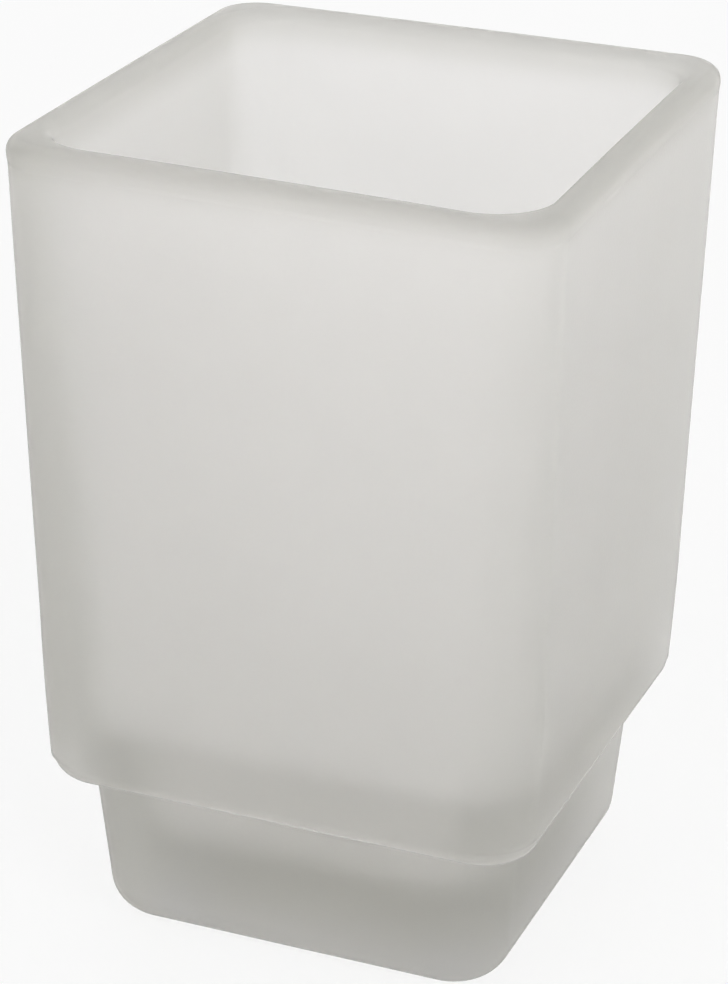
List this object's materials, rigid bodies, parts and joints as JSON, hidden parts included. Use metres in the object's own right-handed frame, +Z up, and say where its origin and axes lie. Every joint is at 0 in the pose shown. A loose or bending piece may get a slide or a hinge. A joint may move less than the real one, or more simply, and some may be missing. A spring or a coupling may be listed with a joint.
{
  "type": "bathroom tumbler",
  "caption": "Square, tapered frosted-glass tumbler with a rolled rim and a narrower stepped foot, for toothbrushes or drinking water at a washbasin.",
  "frame": {"origin": "centre of the base, on the plane that the tumbler stands on", "axes": "+Z up through the open rim; X and Y square to the flat sides"},
  "size_m": [0.0652, 0.0652, 0.1],
  "materials": {
    "frosted_glass": "frosted all over by acid etching, matt and translucent"
  },
  "bodies": {
    "root": {"tumbler_glass": "frosted_glass"}
  },
  "joints": []
}
